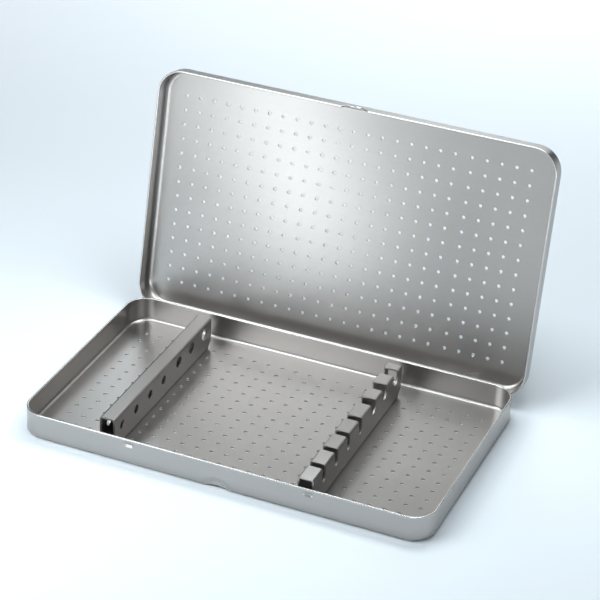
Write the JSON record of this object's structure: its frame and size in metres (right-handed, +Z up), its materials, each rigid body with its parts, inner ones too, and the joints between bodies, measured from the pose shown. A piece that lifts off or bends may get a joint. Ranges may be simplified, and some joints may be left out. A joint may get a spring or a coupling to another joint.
{
  "type": "dental instrument case",
  "caption": "Shallow perforated steel case with a hinged lid; a drilled rack and a slotted rack inside hold dental hand instruments apart.",
  "frame": {"origin": "centre of the tray's underside", "axes": "+X along the long side, towards the slotted rack; +Y towards the hinge; +Z up"},
  "size_m": [0.1826, 0.1405, 0.1126],
  "materials": {
    "tray_steel": "satin stainless",
    "lid_steel": "satin stainless",
    "rack_steel": "satin stainless",
    "hinge_steel": "satin stainless",
    "pin_steel": "drawn stainless wire"
  },
  "bodies": {
    "tray": {"base_tray": "tray_steel", "handle_rack": "rack_steel", "slot_rack": "rack_steel", "tray_hinge_leaf_left": "hinge_steel", "tray_hinge_leaf_right": "hinge_steel", "hinge_pin_left": "pin_steel", "hinge_pin_right": "pin_steel"},
    "lid": {"lid": "lid_steel", "lid_hinge_leaf_left": "hinge_steel", "lid_hinge_leaf_right": "hinge_steel"}
  },
  "joints": [
    {"name": "lid_hinge", "type": "hinge", "parent": "tray", "child": "lid", "pos_m": [0, 0.0547, 0.0057], "axis": [1, 0, 0], "range_deg": [0, 101.9]}
  ]
}
